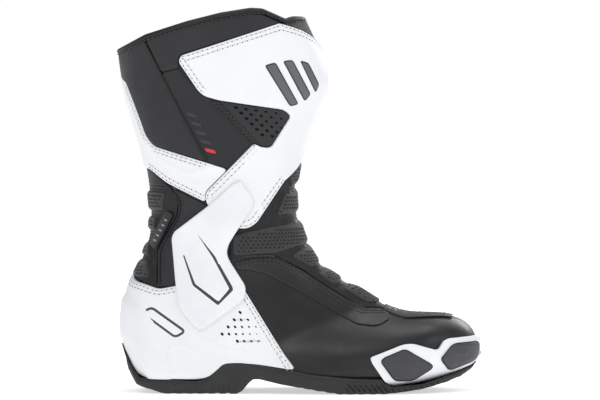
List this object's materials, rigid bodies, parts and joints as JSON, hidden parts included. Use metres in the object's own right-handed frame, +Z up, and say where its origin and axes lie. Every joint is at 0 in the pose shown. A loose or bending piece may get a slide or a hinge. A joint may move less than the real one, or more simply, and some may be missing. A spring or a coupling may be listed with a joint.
{
  "type": "motorcycle riding boot",
  "caption": "Tall white and black road riding boot for the right foot, with shin plate, ankle brace, bellows at the ankle, medial zip under a flap and a toe slider.",
  "frame": {"origin": "on the ground, under the middle of the boot's bounding box", "axes": "+Z up, +X forward to the toe, +Y towards the inner (medial) side of this right boot"},
  "size_m": [0.3022, 0.1218, 0.317],
  "materials": {
    "sole_rubber": "matte moulded rubber",
    "black_leather": "satin grained microfibre leather",
    "white_microfibre": "smooth satin white microfibre",
    "white_tpu": "satin moulded TPU",
    "grey_tpu": "matte moulded TPU",
    "stretch_mesh": "honeycomb stretch mesh",
    "stretch_fabric": "woven stretch nylon",
    "lining_fabric": "brushed polyester mesh",
    "foam": "closed cell foam",
    "board": "fibre board",
    "stiffener": "thermoformed",
    "steel": "zinc plated",
    "zip_metal": "black plated",
    "zip_nylon": "moulded nylon",
    "grey_print": "transfer print"
  },
  "bodies": {
    "foot": {"outsole": "sole_rubber", "shank": "steel", "insole_board": "board", "footbed": "foam", "foot_lining": "lining_fabric", "foot_padding": "foam", "heel_stiffener": "stiffener", "toe_puff": "stiffener", "foot_shell": "black_leather", "instep_surround": "black_leather", "medial_grip_pad": "sole_rubber", "heel_counter": "white_microfibre", "shift_pad": "grey_tpu", "toe_slider_frame": "white_tpu", "toe_slider_rear_pad": "grey_tpu", "toe_slider_front_pad": "grey_tpu", "toe_slider_screws": "steel", "ankle_lining": "lining_fabric", "ankle_padding": "foam", "instep_bellows": "black_leather", "achilles_bellows": "black_leather", "lateral_quarter": "black_leather", "medial_quarter": "black_leather", "instep_mesh": "stretch_mesh", "achilles_mesh": "stretch_mesh", "side_tag": "stretch_fabric", "ankle_brace": "white_tpu", "brace_inlay": "grey_tpu"},
    "shaft": {"shaft_lining": "lining_fabric", "shaft_padding": "foam", "shaft_shell": "black_leather", "collar_binding": "black_leather", "calf_panel": "black_leather", "upper_panel": "black_leather", "stretch_panel": "stretch_fabric", "vent_insert": "black_leather", "medial_rear_panel": "black_leather", "medial_front_panel": "black_leather", "front_gusset": "stretch_fabric", "calf_band": "white_microfibre", "shin_plate": "white_microfibre", "shin_graphic": "grey_print", "loop_patch": "lining_fabric", "flap_base": "black_leather", "zip_tape": "stretch_fabric", "zip_teeth": "zip_nylon", "zip_stops": "zip_metal"},
    "zip_slider_body": {"zip_slider": "zip_metal"},
    "zip_pull_body": {"zip_pull": "zip_metal", "zip_pull_grip": "grey_tpu"},
    "flap": {"closure_flap": "black_leather", "hook_patch": "zip_nylon"}
  },
  "joints": [
    {"name": "ankle_flex", "type": "hinge", "parent": "foot", "child": "shaft", "pos_m": [-0.07024, -0.00168, 0.105], "axis": [0, 1, 0], "range_deg": [-10, 15], "stiffness_Nm_per_rad": 60, "deforming": ["ankle_lining", "ankle_padding", "instep_bellows", "achilles_bellows", "lateral_quarter", "medial_quarter", "instep_mesh", "achilles_mesh", "side_tag", "ankle_brace", "brace_inlay", "zip_tape", "zip_teeth"]},
    {"name": "zip_slide", "type": "slide", "parent": "shaft", "child": "zip_slider_body", "axis": [0, -0.0936, -0.9956], "range_m": [0, 0.128]},
    {"name": "pull_swing", "type": "hinge", "parent": "zip_slider_body", "child": "zip_pull_body", "pos_m": [-0.06324, 0.05754, 0.25437], "axis": [1, 0, 0], "range_deg": [0, 110]},
    {"name": "flap_open", "type": "hinge", "parent": "shaft", "child": "flap", "pos_m": [-0.03039, 0.05532, 0.283], "axis": [0, 0, -1], "range_deg": [0, 150]}
  ]
}
